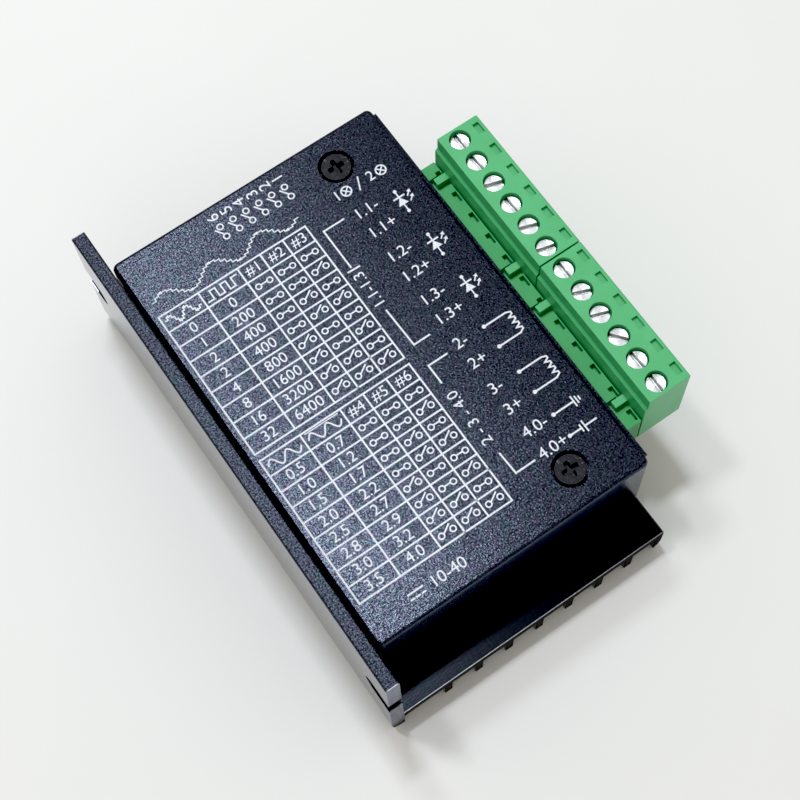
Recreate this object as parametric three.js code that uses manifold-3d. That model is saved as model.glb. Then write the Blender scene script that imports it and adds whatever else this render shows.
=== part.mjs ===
// Stepper driver module: a finned L-shaped heat sink, a circuit board on spacers, a moulded cover
// held by two long screws, a row of switches at the far end and two pluggable terminal blocks.
//
// Frame while building, in millimetres: X runs from the outer face of the heat sink's tall wall
// towards the terminals, Y runs from the near end of the heat sink to its far end, where the
// switches are, and Z runs up from the fin tips. The finished group is moved to stand centred
// over the origin.

import * as THREE from 'three';
import { mergeVertices } from 'three/addons/utils/BufferGeometryUtils.js';
import Module from 'manifold-3d';

const wasm = await Module();
wasm.setup();

// ---------------------------------------------------------------- driving dimensions

// gaps
const seatGap = 0.25; // between pieces that rest on each other
const fitGap = 0.3; // between a piece and what it fits in
const slideGap = 0.3; // round a piece that slides
const overrun = 1; // how far a cutting tool runs past what it cuts
const merge = 0.1; // how far two joined solids run into each other

// heat sink
const heatSinkLength = 96;
const baseWidth = 58.2;
const baseTop = 7.4;
const plateThickness = 2.6;
const wallHeight = 33;
const wallThickness = 2.6;
const finThickness = 1.5;
const finPitch = 6.5;
const finClearOfWall = 8;
const footRadius = 3.6;
const rimChamfer = 0.3;
const slotWidth = 5;
const slotReach = 6.8;
const slotCentreHeight = 18.6;

// cover
const coverNearLand = 7.4;
const coverFarLand = 5.5;
const coverWallClearance = 0.8;
const coverTop = 27.6;
const coverSkin = 1.2;
const coverWall = 1.5;
const coverCornerRadius = 1.2;
const coverBevel = 0.7;
const ribReach = 0.5;
const ribHeight = 0.6;
const ribDrop = 0.8;
const ribEndInset = 1.5;
const boreBoxWall = 0.8;

// screws that hold the cover
const coverScrewInsetX = 11.6;
const coverScrewInsetY = 6.7;
const coverScrewHeadRadius = 2.8;
const coverScrewHeadHeight = 1.8;
const fixingShankRadius = 1.3;
const counterboreRadius = 3.3;
const counterboreDepth = 2.2;
const bossRadius = 2.6;
const crossWidth = 0.8;
const crossLength = 3;
const crossDepth = 1.1;
const screwBite = 1.8;

// circuit board and the spacers under it
const boardThickness = 1.6;
const boardClearance = 0.5;
const spacerAcrossFlats = 5;
const spacerBoreRadius = 1.7;
const wallSideScrewInset = 3.6;
const boardScrewHeadRadius = 2.4;
const boardScrewHeadHeight = 1.5;

// terminals
const poleCount = 12;
const polePitch = 5.08;
const terminalSetback = 7;
const headerReach = 3.6;
const headerDepth = 9.8;
const headerHeight = 8.5;
const headerWall = 1.1;
const headerBackWall = 1.5;
const headerEndWall = 0.9;
const notchSize = 0.9;
const notchInset = 0.25;
const notchBarWidth = 0.45;
const notchBarLength = 1.3;
const notchStep = 0.2;
const pinHoleSize = 1.2;
const rowTrim = 0.3;
const plugHeight = 15.8;
const deckDepth = 8.5;
const deckStep = 0.5;
const ridgeDrop = 3.2;
const plugFloor = 0.9;
const tongueReach = 8.4;
const socketSize = 1.7;
const latchWidth = 1.4;
const latchSpacing = 21.6;
const latchOffset = 0.65;
const latchReach = 2.5;
const latchHeight = 1;
const latchPlay = 0.8;
const latchProud = 0.25;
const latchSlotInset = 0.3;
const recessWidth = 1.2;
const recessLength = 2.3;
const recessDepth = 0.7;
const recessInset = 1.3;

// clamp screws and cages
const screwLineInset = 5.3;
const clampHeadRadius = 1.8;
const clampHeadHeight = 1.6;
const clampHeadDrop = 1;
const clampShankRadius = 1.1;
const clampShankLength = 7.4;
const threadGap = 0.2;
const driverSlotWidth = 0.6;
const driverSlotDepth = 0.8;
const cageAlongX = 4;
const cageAlongY = 3.6;
const cageHeight = 5.8;
const cageFloor = 0.8;
const cageBridge = 1.6;
const cageSide = 0.6;
const cageTravel = 1.5;
const entryWidth = 3.2;

// switches
const switchCount = 6;
const switchPitch = 2.54;
const switchSetback = 14.8;
const switchBodyMargin = 0.8;
const switchBodyHeight = 6.2;
const switchBodyDepth = 5.4;
const sliderWidth = 1.1;
const sliderHeight = 1.5;
const sliderTravel = 1.9;
const sliderProud = 0.9;
const sliderRoot = 1.2;

// lamps
const lampRadius = 1.5;
const lampInsetX = 4.6;
const lampPitch = 4.2;
const lampLength = 3.4;
const lampSetback = 0.2;
const lampFlange = 0.5;
const lampLift = 1.4;
const lampDomeShare = 0.5;

// driver chip and the block that carries its heat down to the plate
const chipSize = 9;
const chipHeight = 1.1;
const padSize = 10;
const padHeight = 0.9;
const blockSize = 16;

// other board parts
const capacitorRadius = 3.8;
const capacitorLength = 12;
const capacitorGap = 5;
const capacitorShift = 9;
const capacitorHeadroom = 1;
const canGrooveInset = 1.4;
const canGrooveWidth = 0.8;
const canGrooveDepth = 0.35;
const partSetback = 6.5;
const optoSize = [4.6, 6.6, 3.4];
const optoCount = 3;
const optoFromScrew = 14.74;
const optoGap = 2.4;
const resistorSize = [3.2, 6.4, 1];
const resistorCount = 2;
const resistorFromScrew = 12.3;
const resistorGap = 3;
const regulatorSize = [6.6, 3.7, 1.8];
const regulatorShift = 4;
const regulatorFromScrew = 8.3;

// facets
const roundSides = 24;
const smallSides = 12;

// ---------------------------------------------------------------- places that follow

const coverX = [wallThickness + coverWallClearance, baseWidth];
const coverY = [coverNearLand, heatSinkLength - coverFarLand];
const coverZ = [baseTop + seatGap, coverTop];
const insideX = [coverX[0] + coverWall, coverX[1] - coverWall];
const insideY = [coverY[0] + coverWall, coverY[1] - coverWall];
const ceiling = coverTop - coverSkin;

// The board hangs as far under the ceiling as the header or the capacitors need.
const boardDrop = Math.max(
  fitGap + headerHeight + seatGap,
  capacitorHeadroom + 2 * capacitorRadius + seatGap,
);
const boardTop = ceiling - boardDrop;
const boardBottom = boardTop - boardThickness;

const headerZ = [boardTop + seatGap, boardTop + seatGap + headerHeight];
const headerMouth = coverX[1] + headerReach;
const headerX = [headerMouth - headerDepth, headerMouth];
const rowLength = poleCount * polePitch - rowTrim;
const rowCentre = coverY[0] + terminalSetback + rowLength / 2;
const headerY = [rowCentre - rowLength / 2, rowCentre + rowLength / 2];
const trayZ = [headerZ[0] + headerWall, headerZ[1] - headerWall];

const boardX = [insideX[0] + boardClearance, insideX[1] - boardClearance];
const boardY = [insideY[0] + boardClearance, insideY[1] - boardClearance];

const plugX = [headerMouth + slideGap, headerMouth + slideGap + deckStep + deckDepth];
const deckInner = plugX[0] + deckStep;
const tongueTip = plugX[0] - tongueReach;
const plugZ = [headerZ[0], headerZ[0] + plugHeight];
const polesPerPlug = poleCount / 2;
const screwLineX = plugX[1] - screwLineInset;

const screwHeadTop = plugZ[1] - clampHeadDrop;
const screwHeadBottom = screwHeadTop - clampHeadHeight;
const chamberZ = [plugZ[0] + plugFloor, screwHeadBottom - seatGap - plugFloor];
const cageZ = [chamberZ[0] + slideGap + cageTravel, chamberZ[0] + slideGap + cageTravel + cageHeight];
const windowZ = [cageZ[0] + cageFloor, cageZ[1] - cageBridge];
const socketZ = (trayZ[0] + trayZ[1]) / 2;

const coverScrewX = coverX[1] - coverScrewInsetX;
const coverScrewYs = [coverY[0] + coverScrewInsetY, coverY[1] - coverScrewInsetY];
const wallSideScrewX = boardX[0] + wallSideScrewInset;

const switchCentreX = coverScrewX - switchSetback;
const switchBodyLength = switchCount * switchPitch + 2 * switchBodyMargin;
const switchFace = insideY[1] - fitGap;
const sliderRestZ = boardTop + seatGap + (switchBodyHeight - sliderHeight - sliderTravel) / 2;

const poleY = (i) => rowCentre + ((poleCount - 1) / 2 - i) * polePitch;
const switchX = (i) => switchCentreX + ((switchCount - 1) / 2 - i) * switchPitch;

// ---------------------------------------------------------------- materials

const finish = (color, roughness, metalness = 0) =>
  new THREE.MeshStandardMaterial({ color, roughness, metalness });

const materials = {
  anodised: finish(0x17171b, 0.5, 0.8),
  cover: finish(0x1b1d29, 0.6),
  blackSteel: finish(0x141416, 0.35, 0.9),
  board: finish(0x1c5b33, 0.55),
  brass: finish(0xb9964a, 0.35, 1),
  chip: finish(0x161616, 0.5),
  pad: finish(0x9aa3ad, 0.9),
  aluminium: finish(0xb5b8bb, 0.35, 1),
  can: finish(0x23242a, 0.4),
  ceramic: finish(0x2a2a2c, 0.6),
  headerGreen: finish(0x2f9a5c, 0.45),
  plugGreen: finish(0x5cc784, 0.4),
  nickel: finish(0xc9cbcd, 0.25, 1),
  switchRed: finish(0xb3261e, 0.5),
  sliderWhite: finish(0xe9e7df, 0.5),
  lampGreen: finish(0x49c46a, 0.2),
  lampRed: finish(0xd2402f, 0.2),
};

// ---------------------------------------------------------------- solids from geometry

// A closed geometry as a solid that can be joined and cut.
function solid(geometry) {
  const bare = geometry.clone();
  bare.deleteAttribute('normal');
  bare.deleteAttribute('uv');
  const merged = mergeVertices(bare, 1e-5);
  return new wasm.Manifold(new wasm.Mesh({
    numProp: 3,
    vertProperties: new Float32Array(merged.attributes.position.array),
    triVerts: new Uint32Array(merged.index.array),
  }));
}

// A finished solid as a named mesh.
function piece(name, body, material) {
  const mesh = body.getMesh();
  const geometry = new THREE.BufferGeometry();
  geometry.setAttribute('position', new THREE.BufferAttribute(mesh.vertProperties, 3));
  geometry.setIndex(new THREE.BufferAttribute(mesh.triVerts, 1));
  geometry.computeVertexNormals();
  const named = new THREE.Mesh(geometry, material);
  named.name = name;
  return named;
}

const join = (bodies) => bodies.reduce((whole, body) => whole.add(body));
const cut = (body, tools) => tools.reduce((rest, tool) => rest.subtract(tool), body);

// A block between two ends on each axis.
function block(x, y, z) {
  const geometry = new THREE.BoxGeometry(x[1] - x[0], y[1] - y[0], z[1] - z[0]);
  geometry.translate((x[0] + x[1]) / 2, (y[0] + y[1]) / 2, (z[0] + z[1]) / 2);
  return solid(geometry);
}

// The two ends of a stretch of the given length about a centre.
const about = (centre, length) => [centre - length / 2, centre + length / 2];

// A stretch that runs past both of its ends.
const past = ([low, high]) => [low - overrun, high + overrun];

function uprightRod(x, y, radius, z, sides = roundSides) {
  const geometry = new THREE.CylinderGeometry(radius, radius, z[1] - z[0], sides);
  geometry.rotateX(Math.PI / 2);
  geometry.translate(x, y, (z[0] + z[1]) / 2);
  return solid(geometry);
}

function rodAlongY(x, z, radius, y, sides = roundSides) {
  const geometry = new THREE.CylinderGeometry(radius, radius, y[1] - y[0], sides);
  geometry.translate(x, (y[0] + y[1]) / 2, z);
  return solid(geometry);
}

// An outline in X and Z, drawn out along Y.
function extrudeAlongY(outline, y, curveSegments = 6) {
  const geometry = new THREE.ExtrudeGeometry(outline, {
    depth: y[1] - y[0],
    bevelEnabled: false,
    curveSegments,
  });
  geometry.rotateX(Math.PI / 2);
  geometry.translate(0, y[1], 0);
  return solid(geometry);
}

// An outline in Y and Z, drawn out along X.
function extrudeAlongX(outline, x, curveSegments = 6) {
  const geometry = new THREE.ExtrudeGeometry(outline, {
    depth: x[1] - x[0],
    bevelEnabled: false,
    curveSegments,
  });
  const turn = new THREE.Matrix4().makeBasis(
    new THREE.Vector3(0, 1, 0),
    new THREE.Vector3(0, 0, 1),
    new THREE.Vector3(1, 0, 0),
  );
  geometry.applyMatrix4(turn);
  geometry.translate(x[0], 0, 0);
  return solid(geometry);
}

// A block with rounded upright corners and a bevel round its top.
function bevelledBox(x, y, z, cornerRadius, bevel) {
  const halfX = (x[1] - x[0]) / 2 - bevel;
  const halfY = (y[1] - y[0]) / 2 - bevel;
  const radius = Math.max(cornerRadius - bevel, 0.1);
  const outline = new THREE.Shape();
  outline.moveTo(halfX, -halfY + radius);
  outline.lineTo(halfX, halfY - radius);
  outline.absarc(halfX - radius, halfY - radius, radius, 0, Math.PI / 2);
  outline.absarc(-halfX + radius, halfY - radius, radius, Math.PI / 2, Math.PI);
  outline.absarc(-halfX + radius, -halfY + radius, radius, Math.PI, 1.5 * Math.PI);
  outline.absarc(halfX - radius, -halfY + radius, radius, 1.5 * Math.PI, 2 * Math.PI);
  const geometry = new THREE.ExtrudeGeometry(outline, {
    depth: z[1] - z[0],
    bevelEnabled: true,
    bevelSize: bevel,
    bevelThickness: bevel,
    bevelSegments: 2,
    curveSegments: 3,
  });
  geometry.translate((x[0] + x[1]) / 2, (y[0] + y[1]) / 2, z[0] - bevel);
  const below = block(past(x), past(y), [z[0] - 2 * bevel, z[0]]);
  return solid(geometry).subtract(below);
}

// ---------------------------------------------------------------- heat sink

// The section that is drawn out along the module: wall, plate and fins. The fins start at the
// terminal side and go on at their pitch while the stretch beside the wall stays clear.
function heatSinkOutline() {
  const plateBottom = baseTop - plateThickness;
  const finRun = baseWidth - finThickness - wallThickness - finClearOfWall;
  const finCount = Math.floor(finRun / finPitch) + 1;
  const outline = new THREE.Shape();
  outline.moveTo(wallThickness, 0);
  outline.lineTo(wallThickness, plateBottom);
  for (let i = finCount - 1; i >= 0; i -= 1) {
    const finLeft = baseWidth - finThickness - i * finPitch;
    outline.lineTo(finLeft, plateBottom);
    outline.lineTo(finLeft, 0);
    if (i > 0) {
      outline.lineTo(finLeft + finThickness, 0);
      outline.lineTo(finLeft + finThickness, plateBottom);
    }
  }
  outline.quadraticCurveTo(baseWidth, 0, baseWidth, footRadius);
  outline.lineTo(baseWidth, baseTop - rimChamfer);
  outline.lineTo(baseWidth - rimChamfer, baseTop);
  outline.lineTo(wallThickness, baseTop);
  outline.lineTo(wallThickness, wallHeight - rimChamfer);
  outline.lineTo(wallThickness - rimChamfer, wallHeight);
  outline.lineTo(rimChamfer, wallHeight);
  outline.lineTo(0, wallHeight - rimChamfer);
  outline.lineTo(0, footRadius);
  outline.quadraticCurveTo(0, 0, wallThickness, 0);
  return outline;
}

// A slot through the wall, open at one end of the heat sink. inward is +1 at the near end.
function mountingSlot(endY, inward) {
  const radius = slotWidth / 2;
  const roundY = endY + inward * (slotReach - radius);
  const x = past([0, wallThickness]);
  const straight = [endY - inward * overrun, roundY].sort((a, b) => a - b);
  const disc = new THREE.Shape();
  disc.absarc(roundY, slotCentreHeight, radius, 0, 2 * Math.PI);
  return block(x, straight, about(slotCentreHeight, slotWidth)).add(extrudeAlongX(disc, x, smallSides));
}

function heatSink() {
  const profile = extrudeAlongY(heatSinkOutline(), [0, heatSinkLength]);
  const holeZ = past([baseTop - plateThickness, baseTop]);
  const holes = [];
  for (const y of coverScrewYs) {
    holes.push(uprightRod(coverScrewX, y, fixingShankRadius + fitGap, holeZ, smallSides));
    holes.push(uprightRod(wallSideScrewX, y, fixingShankRadius + fitGap, holeZ, smallSides));
  }
  const slots = [mountingSlot(0, 1), mountingSlot(heatSinkLength, -1)];
  return cut(profile, [...holes, ...slots]);
}

// ---------------------------------------------------------------- cover

function counterboreCup(y) {
  const cupFloor = coverTop - counterboreDepth - coverWall;
  return uprightRod(coverScrewX, y, counterboreRadius + boreBoxWall, [cupFloor, ceiling + merge])
    .add(uprightRod(coverScrewX, y, bossRadius, [boardTop + seatGap, ceiling + merge]));
}

function counterboreCut(y) {
  return uprightRod(coverScrewX, y, counterboreRadius, [coverTop - counterboreDepth, coverTop + overrun])
    .add(uprightRod(coverScrewX, y, fixingShankRadius + fitGap, [boardTop, coverTop], smallSides));
}

// The rib along the terminal side, just under the bevel.
function coverRib() {
  const top = coverTop - ribDrop;
  const y = [coverY[0] + ribEndInset, coverY[1] - ribEndInset];
  return block([coverX[1] - coverWall / 2, coverX[1] + ribReach], y, [top - ribHeight, top]);
}

// The way out for the terminals, open from just under the header to the ceiling.
function terminalOpening() {
  const y = [headerY[0] - fitGap, headerY[1] + fitGap];
  return block(past([insideX[1], coverX[1] + ribReach]), y, [boardTop, ceiling]);
}

function switchWindow() {
  const x = about(switchCentreX, switchBodyLength + 2 * fitGap);
  const z = [boardTop, boardTop + 2 * seatGap + switchBodyHeight];
  return block(x, past([insideY[1], coverY[1]]), z);
}

const lampX = (i) => insideX[1] - lampInsetX + (i === 0 ? -lampPitch / 2 : lampPitch / 2);
const lampZ = boardTop + seatGap + lampRadius + lampLift;

function cover() {
  const shell = bevelledBox(coverX, coverY, coverZ, coverCornerRadius, coverBevel);
  const hollow = block(insideX, insideY, [coverZ[0] - overrun, ceiling]);
  const body = cut(shell, [hollow]);
  const withBosses = join([body, coverRib(), ...coverScrewYs.map(counterboreCup)]);
  const lampHoles = [0, 1].map((i) =>
    rodAlongY(lampX(i), lampZ, lampRadius + fitGap, past([insideY[1], coverY[1]]), smallSides));
  return cut(withBosses, [
    ...coverScrewYs.map(counterboreCut),
    terminalOpening(),
    switchWindow(),
    ...lampHoles,
  ]);
}

// A cross-head screw that stands upright, with its tip in the heat sink's plate.
function crossHeadScrew(x, y, headRadius, headBottom, headHeight) {
  const headTop = headBottom + headHeight;
  const head = uprightRod(x, y, headRadius, [headBottom, headTop]);
  const shankZ = [baseTop - screwBite, headBottom + merge];
  const shank = uprightRod(x, y, fixingShankRadius, shankZ, smallSides);
  const deep = [headTop - crossDepth, headTop + overrun];
  const crossX = block(about(x, crossLength), about(y, crossWidth), deep);
  const crossY = block(about(x, crossWidth), about(y, crossLength), deep);
  return cut(head.add(shank), [crossX, crossY]);
}

// A long screw through the cover, the board and a spacer, with its head in the counterbore.
function coverScrew(y) {
  const headBottom = coverTop - counterboreDepth + seatGap;
  return crossHeadScrew(coverScrewX, y, coverScrewHeadRadius, headBottom, coverScrewHeadHeight);
}

// ---------------------------------------------------------------- board and spacers

const fixings = [
  { name: 'near_terminal', x: coverScrewX, y: coverScrewYs[0], board: false },
  { name: 'far_terminal', x: coverScrewX, y: coverScrewYs[1], board: false },
  { name: 'near_wall', x: wallSideScrewX, y: coverScrewYs[0], board: true },
  { name: 'far_wall', x: wallSideScrewX, y: coverScrewYs[1], board: true },
];

function circuitBoard() {
  const board = block(boardX, boardY, [boardBottom, boardTop]);
  const holes = fixings.map(({ x, y }) =>
    uprightRod(x, y, fixingShankRadius + fitGap, past([boardBottom, boardTop]), smallSides));
  return cut(board, holes);
}

// A hexagonal spacer between the heat sink's plate and the board.
function spacer({ x, y }) {
  const cornerRadius = spacerAcrossFlats / Math.cos(Math.PI / 6) / 2;
  const z = [baseTop + seatGap, boardBottom - seatGap];
  const bore = uprightRod(x, y, spacerBoreRadius, past(z), smallSides);
  return uprightRod(x, y, cornerRadius, z, 6).subtract(bore);
}

// A screw through the board and its spacer on the side by the tall wall.
function boardScrew({ x, y }) {
  return crossHeadScrew(x, y, boardScrewHeadRadius, boardTop + seatGap, boardScrewHeadHeight);
}

// ---------------------------------------------------------------- parts on the board

const chipCentre = [(boardX[0] + headerX[0]) / 2, (boardY[0] + boardY[1]) / 2];
const chipZ = [boardBottom - seatGap - chipHeight, boardBottom - seatGap];
const padZ = [chipZ[0] - seatGap - padHeight, chipZ[0] - seatGap];
const blockZ = [baseTop + seatGap, padZ[0] - seatGap];

const squareAt = (centre, size, z) => block(about(centre[0], size), about(centre[1], size), z);

function onBoard(centre, size) {
  const z = [boardTop + seatGap, boardTop + seatGap + size[2]];
  return block(about(centre[0], size[0]), about(centre[1], size[1]), z);
}

// An electrolytic can lying on the board, with the rolled groove near its lead end.
function capacitor(centre) {
  const z = boardTop + seatGap + capacitorRadius;
  const y = about(centre[1], capacitorLength);
  const grooveY = [y[0] + canGrooveInset, y[0] + canGrooveInset + canGrooveWidth];
  const can = rodAlongY(centre[0], z, capacitorRadius, y);
  const ring = rodAlongY(centre[0], z, capacitorRadius + overrun, grooveY)
    .subtract(rodAlongY(centre[0], z, capacitorRadius - canGrooveDepth, past(grooveY)));
  return can.subtract(ring);
}

const capacitorCentres = [-1, 1].map((side) =>
  [chipCentre[0] - capacitorShift, chipCentre[1] + side * (capacitorLength + capacitorGap) / 2]);
const partColumnX = headerX[0] - partSetback;
const optoCentres = Array.from({ length: optoCount }, (_, i) =>
  [partColumnX, coverScrewYs[1] - optoFromScrew - i * (optoSize[1] + optoGap)]);
const resistorCentres = Array.from({ length: resistorCount }, (_, i) =>
  [partColumnX, coverScrewYs[0] + resistorFromScrew + i * (resistorSize[1] + resistorGap)]);
const regulatorCentre = [chipCentre[0] + regulatorShift, coverScrewYs[0] + regulatorFromScrew];

// ---------------------------------------------------------------- switches and lamps

function switchBody() {
  const z = [boardTop + seatGap, boardTop + seatGap + switchBodyHeight];
  const y = [switchFace - switchBodyDepth, switchFace];
  const pockets = [];
  for (let i = 0; i < switchCount; i += 1) {
    const track = [sliderRestZ - slideGap, sliderRestZ + sliderHeight + sliderTravel + slideGap];
    const x = about(switchX(i), sliderWidth + 2 * slideGap);
    pockets.push(block(x, [switchFace - sliderRoot - slideGap, switchFace + overrun], track));
  }
  return cut(block(about(switchCentreX, switchBodyLength), y, z), pockets);
}

function switchSlider(i) {
  const z = [sliderRestZ, sliderRestZ + sliderHeight];
  return block(about(switchX(i), sliderWidth), [switchFace - sliderRoot, switchFace + sliderProud], z);
}

// A round lamp: a long lens with a flange behind the cover's end wall and a domed front. Its back
// ends short of the terminal header.
function lamp(i) {
  const front = coverY[1] - lampSetback;
  const flangeFront = insideY[1] - seatGap;
  const back = Math.max(front - lampLength, headerY[1] + fitGap);
  const dome = new THREE.Shape();
  dome.moveTo(0, back);
  dome.lineTo(lampRadius + lampFlange, back);
  dome.lineTo(lampRadius + lampFlange, flangeFront);
  dome.lineTo(lampRadius, flangeFront);
  dome.lineTo(lampRadius, front - lampRadius * lampDomeShare);
  dome.quadraticCurveTo(lampRadius, front, 0, front);
  const geometry = new THREE.LatheGeometry(dome.getPoints(4), smallSides);
  geometry.translate(lampX(i), 0, lampZ);
  return solid(geometry);
}

// ---------------------------------------------------------------- terminal header

function headerNotch(i) {
  const z = [trayZ[1] - notchStep, headerZ[1] + overrun];
  const outer = headerMouth - notchInset;
  const square = block([outer - notchSize, outer], about(poleY(i), notchSize), z);
  const barX = [outer - notchBarWidth, outer];
  const barY = [poleY(i) - notchSize / 2 - notchBarLength, poleY(i)];
  return square.add(block(barX, barY, z));
}

const plugCentre = (k) => rowCentre + (0.5 - k) * polesPerPlug * polePitch;
const latchY = (k, side) => plugCentre(k) + latchOffset + side * latchSpacing / 2;
const latches = [0, 1].flatMap((k) => [-1, 1].map((side) => latchY(k, side)));

function headerLatchSlot(y) {
  const slotY = [y - latchWidth / 2 - slideGap - latchPlay, y + latchWidth / 2 + slideGap];
  const z = [trayZ[1] - notchStep, headerZ[1] + overrun];
  return block([coverX[1] + latchSlotInset, headerMouth + overrun], slotY, z);
}

function terminalHeader() {
  const body = block(headerX, headerY, headerZ);
  const trayY = [headerY[0] + headerEndWall, headerY[1] - headerEndWall];
  const tray = block([headerX[0] + headerBackWall, headerMouth + overrun], trayY, trayZ);
  const cuts = [tray, ...latches.map(headerLatchSlot)];
  const pinHoleX = past([headerX[0], headerX[0] + headerBackWall]);
  for (let i = 0; i < poleCount; i += 1) {
    const pinHole = block(pinHoleX, about(poleY(i), pinHoleSize), about(socketZ, pinHoleSize));
    cuts.push(headerNotch(i), pinHole);
  }
  return cut(body, cuts);
}

// ---------------------------------------------------------------- plugs

// The block's outline in X and Z: a stepped inner face, a chamfered outer top edge.
function plugOutline() {
  const ridge = plugZ[1] - ridgeDrop;
  const outline = new THREE.Shape();
  outline.moveTo(plugX[0], plugZ[0]);
  outline.lineTo(plugX[1], plugZ[0]);
  outline.lineTo(plugX[1], plugZ[1] - rimChamfer);
  outline.lineTo(plugX[1] - rimChamfer, plugZ[1]);
  outline.lineTo(deckInner, plugZ[1]);
  outline.lineTo(deckInner, ridge + rimChamfer);
  outline.lineTo(plugX[0] + rimChamfer, ridge);
  outline.lineTo(plugX[0], ridge - rimChamfer);
  return outline;
}

function poleCuts(i) {
  const y = poleY(i);
  const bore = clampHeadRadius + slideGap / 2;
  const chamberX = about(screwLineX, cageAlongX + 2 * slideGap);
  const chamberY = about(y, cageAlongY + 2 * slideGap);
  const shankBore = clampShankRadius + fitGap;
  const recessX = about(plugX[1] - recessInset, recessWidth);
  return [
    uprightRod(screwLineX, y, bore, [screwHeadBottom - seatGap, plugZ[1] + overrun]),
    uprightRod(screwLineX, y, shankBore, [chamberZ[1] - overrun, screwHeadBottom], smallSides),
    block(chamberX, chamberY, chamberZ),
    block([screwLineX, plugX[1] + overrun], about(y, entryWidth), windowZ),
    block([tongueTip - overrun, screwLineX], about(y, socketSize), about(socketZ, socketSize)),
    block(recessX, about(y, recessLength), [plugZ[1] - recessDepth, plugZ[1] + overrun]),
  ];
}

// One six-way plug. k is 0 for the far one and 1 for the near one.
function plug(k) {
  const outerEnd = k === 0 ? 1 : -1;
  const split = rowCentre + outerEnd * rowTrim / 2;
  const end = rowCentre + outerEnd * rowLength / 2;
  const y = [split, end].sort((a, b) => a - b);
  const tongueEnd = end - outerEnd * (headerEndWall + slideGap);
  const tongueY = [split, tongueEnd].sort((a, b) => a - b);
  const tongueZ = [trayZ[0] + slideGap, trayZ[1] - slideGap];
  const parts = [
    extrudeAlongY(plugOutline(), y),
    block([tongueTip, plugX[0] + merge], tongueY, tongueZ),
  ];
  const tabX = [plugX[0] - latchReach, plugX[0] + merge];
  const tabZ = [headerZ[1] - latchHeight, headerZ[1] + latchProud];
  for (const side of [-1, 1]) {
    parts.push(block(tabX, about(latchY(k, side), latchWidth), tabZ));
  }
  const cuts = [];
  for (let i = k * polesPerPlug; i < (k + 1) * polesPerPlug; i += 1) {
    cuts.push(...poleCuts(i));
  }
  return cut(join(parts), cuts);
}

// How far each slot is turned from the X axis, as the screws were left by hand, in degrees.
const slotTurns = [-90, -86, -18, -88, -20, -15, -90, -22, -20, -52, -88, -92];

function clampScrew() {
  const head = uprightRod(0, 0, clampHeadRadius, [screwHeadBottom, screwHeadTop]);
  const shankZ = [screwHeadBottom - clampShankLength, screwHeadBottom + merge];
  const shank = uprightRod(0, 0, clampShankRadius, shankZ, smallSides);
  const slotZ = [screwHeadTop - driverSlotDepth, screwHeadTop + overrun];
  const slot = block(past([-clampHeadRadius, clampHeadRadius]), about(0, driverSlotWidth), slotZ);
  return head.add(shank).subtract(slot);
}

// The cage that the screw draws up: a floor, two sides and a threaded bridge round the wire window.
function clampCage(i) {
  const x = about(screwLineX, cageAlongX);
  const y = about(poleY(i), cageAlongY);
  const window = block(past(x), [y[0] + cageSide, y[1] - cageSide], windowZ);
  const tappedZ = past([windowZ[1], cageZ[1]]);
  const tapped = uprightRod(screwLineX, poleY(i), clampShankRadius + threadGap, tappedZ, smallSides);
  return cut(block(x, y, cageZ), [window, tapped]);
}

// ---------------------------------------------------------------- assembly

const driver = new THREE.Group();
const addPiece = (name, body, material) => driver.add(piece(name, body, material));

addPiece('heat_sink', heatSink(), materials.anodised);
addPiece('circuit_board', circuitBoard(), materials.board);
addPiece('cover', cover(), materials.cover);
addPiece('cover_screw_near', coverScrew(coverScrewYs[0]), materials.blackSteel);
addPiece('cover_screw_far', coverScrew(coverScrewYs[1]), materials.blackSteel);

for (const fixing of fixings) {
  addPiece(`spacer_${fixing.name}`, spacer(fixing), materials.brass);
  if (fixing.board) {
    addPiece(`board_screw_${fixing.name}`, boardScrew(fixing), materials.nickel);
  }
}

addPiece('driver_chip', squareAt(chipCentre, chipSize, chipZ), materials.chip);
addPiece('thermal_pad', squareAt(chipCentre, padSize, padZ), materials.pad);
addPiece('heat_block', squareAt(chipCentre, blockSize, blockZ), materials.aluminium);
capacitorCentres.forEach((centre, i) => addPiece(`capacitor_${i + 1}`, capacitor(centre), materials.can));
optoCentres.forEach((centre, i) =>
  addPiece(`optocoupler_${i + 1}`, onBoard(centre, optoSize), materials.chip));
resistorCentres.forEach((centre, i) =>
  addPiece(`sense_resistor_${i + 1}`, onBoard(centre, resistorSize), materials.ceramic));
addPiece('regulator', onBoard(regulatorCentre, regulatorSize), materials.chip);

addPiece('switch_body', switchBody(), materials.switchRed);
for (let i = 0; i < switchCount; i += 1) {
  addPiece(`switch_slider_${i + 1}`, switchSlider(i), materials.sliderWhite);
}
addPiece('power_lamp', lamp(0), materials.lampGreen);
addPiece('alarm_lamp', lamp(1), materials.lampRed);

addPiece('terminal_header', terminalHeader(), materials.headerGreen);
addPiece('signal_plug', plug(0), materials.plugGreen);
addPiece('power_plug', plug(1), materials.plugGreen);
for (let i = 0; i < poleCount; i += 1) {
  const screw = piece(`clamp_screw_${i + 1}`, clampScrew(), materials.nickel);
  screw.rotation.z = THREE.MathUtils.degToRad(slotTurns[i]);
  screw.position.set(screwLineX, poleY(i), 0);
  driver.add(screw);
  addPiece(`clamp_cage_${i + 1}`, clampCage(i), materials.nickel);
}

driver.position.set(-plugX[1] / 2, -heatSinkLength / 2, 0);

export default driver;
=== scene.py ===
"""Looks of the stepper driver module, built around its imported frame.

Lengths are in metres unless a name says mm.
"""

import math

import bmesh
import bpy
from mathutils import Matrix, Vector


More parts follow.
